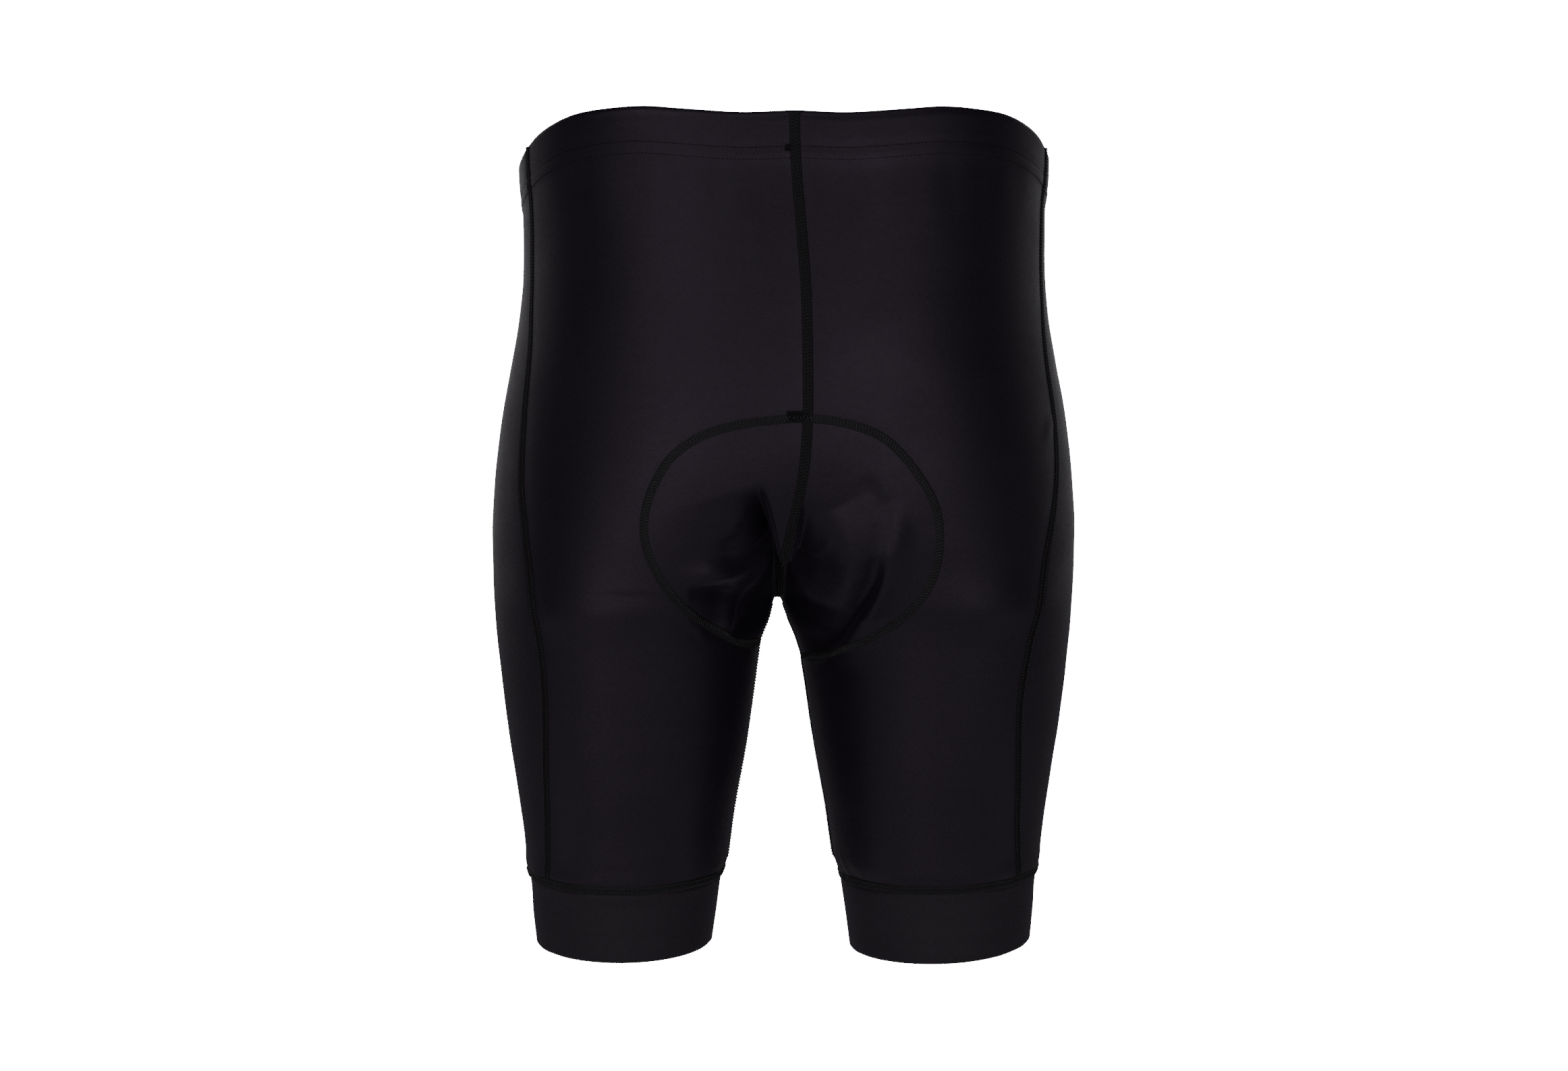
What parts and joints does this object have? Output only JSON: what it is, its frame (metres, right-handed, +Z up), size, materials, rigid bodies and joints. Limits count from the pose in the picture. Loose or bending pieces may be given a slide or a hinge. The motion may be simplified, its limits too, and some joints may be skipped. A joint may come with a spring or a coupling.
{
  "type": "cycling shorts",
  "caption": "Close-fitting knee-length cycling shorts with a turned waist casing, leg grippers and a seat pad, hollow and filled out as worn.",
  "frame": {"origin": "middle of the waist opening, about level with the tops of the side seams", "axes": "+Z up towards the waist, -Y is the front and +Y the seat, +X is the wearer's left"},
  "size_m": [0.3519, 0.2384, 0.5102],
  "materials": {
    "body_cloth": "near-black warp-knit stretch cloth with a soft satin sheen",
    "gripper_knit": "charcoal ribbed stretch knit, a little duller than the body cloth",
    "casing_cloth": "the inner side of the body cloth, matt, over woven elastic",
    "pad_fleece": "brushed microfibre over foam, matt"
  },
  "bodies": {
    "root": {"back_left": "body_cloth", "back_right": "body_cloth", "front_left": "body_cloth", "front_right": "body_cloth", "cuff_left": "gripper_knit", "cuff_right": "gripper_knit", "waist_casing": "casing_cloth", "seat_pad": "pad_fleece"}
  },
  "joints": []
}
